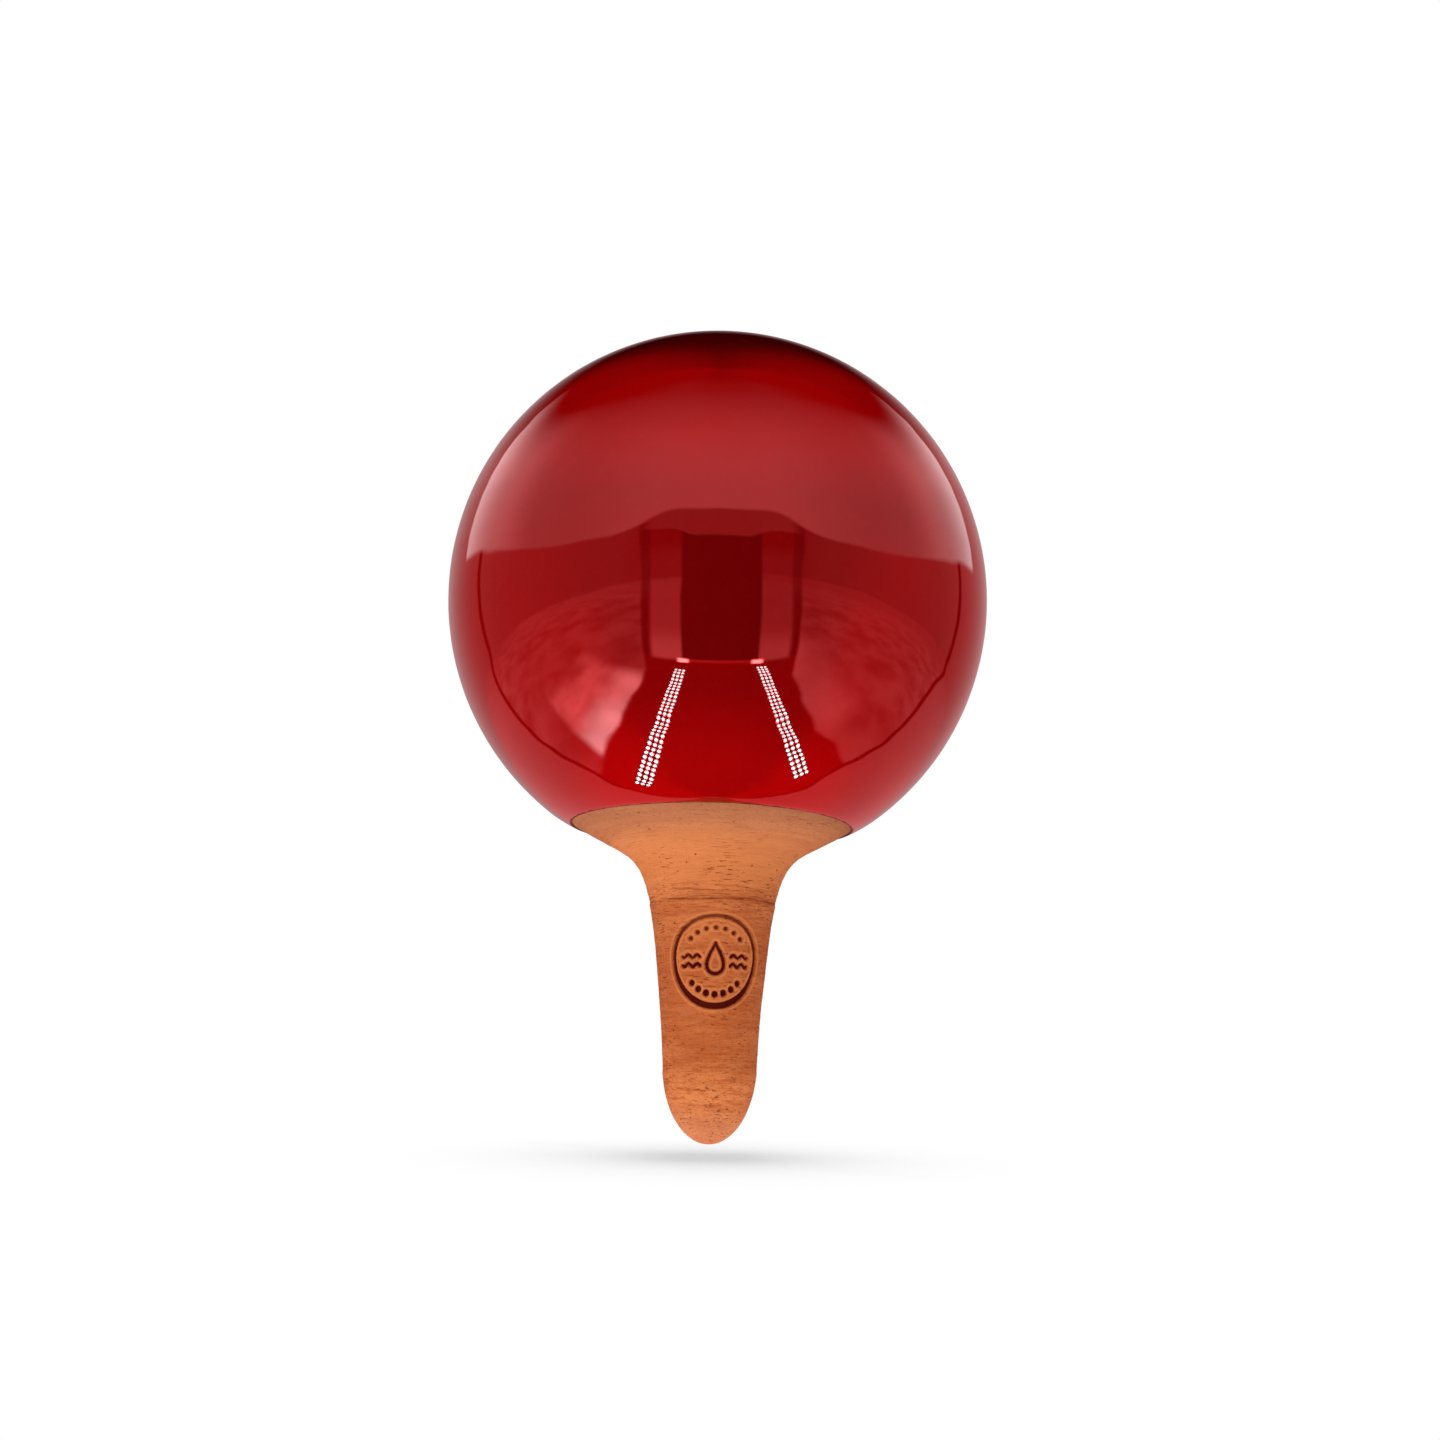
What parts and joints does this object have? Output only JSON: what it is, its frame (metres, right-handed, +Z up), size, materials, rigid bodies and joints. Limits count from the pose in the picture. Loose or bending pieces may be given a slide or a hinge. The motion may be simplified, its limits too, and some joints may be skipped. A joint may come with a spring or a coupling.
{
  "type": "terracotta olla",
  "caption": "Round red-glazed terracotta water globe on a hollow unglazed spike that seeps water to plant roots, with a cork stopper in its filler mouth.",
  "frame": {"origin": "tip of the spike, on the axis", "axes": "+Z up the axis from the spike's tip to the filler mouth, -Y towards the stamped side"},
  "size_m": [0.1198, 0.1198, 0.1744],
  "materials": {
    "terracotta": "unglazed, finely turned",
    "slip": "dry clay slip",
    "red_glaze": "deep gloss",
    "cork": "natural cork"
  },
  "bodies": {
    "vessel": {"globe_shell": "terracotta", "spike": "terracotta", "slip_joint": "slip", "glaze_coat": "red_glaze"},
    "stopper": {"stopper": "cork"}
  },
  "joints": [
    {"name": "stopper_lift", "type": "slide", "parent": "vessel", "child": "stopper", "axis": [0, 0, 1], "range_m": [0, 0.03]}
  ]
}
